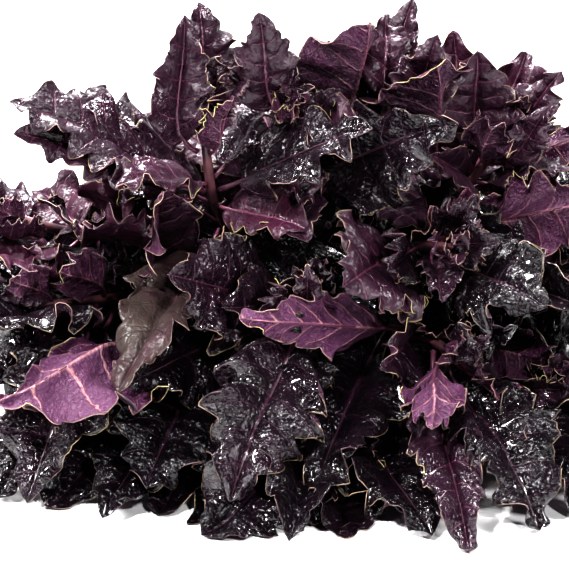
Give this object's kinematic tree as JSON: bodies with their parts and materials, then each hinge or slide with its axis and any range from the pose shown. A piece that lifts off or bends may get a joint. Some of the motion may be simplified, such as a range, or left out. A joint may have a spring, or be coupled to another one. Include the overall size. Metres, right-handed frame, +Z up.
{
  "type": "bunch of purple basil",
  "caption": "Bunch of purple basil lying on its side, with ruffled near-black leaves and bare cut stems.",
  "frame": {"origin": "on the surface the bunch lies on, below the middle of its footprint", "axes": "+Z up from the surface; the bunch is longest along Y, with its leaves towards -Y and its cut stems towards +Y; +X to the right as seen from the leaves"},
  "size_m": [0.2568, 0.2722, 0.1513],
  "materials": {
    "stem": "smooth, dull brownish purple skin",
    "leaf": "glossy near-black purple, wet in places",
    "underside": "satin magenta with pale pink veins",
    "wine": "semi-gloss wine red, thin enough to let light through"
  },
  "bodies": {
    "root": {"stem_01": "stem", "stem_02": "stem", "stem_03": "stem", "stem_04": "stem", "stem_05": "stem", "stem_06": "stem", "stem_07": "stem", "stem_08": "stem", "stem_09": "stem", "stem_10": "stem", "stem_11": "stem", "stem_12": "stem", "stem_13": "stem", "leaf_01_a": "leaf", "leaf_01_b": "leaf", "leaf_01_c": "leaf", "leaf_01_d": "leaf", "leaf_01_e": "leaf", "leaf_02_a": "wine", "leaf_02_b": "leaf", "leaf_02_c": "leaf", "leaf_02_d": "leaf", "leaf_03_a": "wine", "leaf_03_b": "leaf", "leaf_03_c": "wine", "leaf_03_d": "underside", "leaf_04_a": "leaf", "leaf_04_b": "leaf", "leaf_04_c": "leaf", "leaf_04_d": "leaf", "leaf_05_a": "leaf", "leaf_05_b": "wine", "leaf_05_c": "leaf", "leaf_05_d": "leaf", "leaf_06_a": "leaf", "leaf_06_b": "underside", "leaf_06_c": "wine", "leaf_06_d": "leaf", "leaf_07_a": "underside", "leaf_07_b": "leaf", "leaf_07_c": "leaf", "leaf_08_a": "wine", "leaf_08_b": "leaf", "leaf_08_c": "leaf", "leaf_09_a": "leaf", "leaf_09_b": "leaf", "leaf_09_c": "leaf", "leaf_10_a": "leaf", "leaf_10_b": "leaf", "leaf_11_a": "underside", "leaf_11_b": "leaf", "leaf_11_c": "underside", "leaf_11_d": "leaf", "leaf_11_e": "leaf", "leaf_12_a": "leaf", "leaf_12_b": "underside", "leaf_12_c": "leaf", "leaf_12_d": "leaf", "leaf_13_a": "leaf", "leaf_13_b": "leaf"}
  },
  "joints": []
}
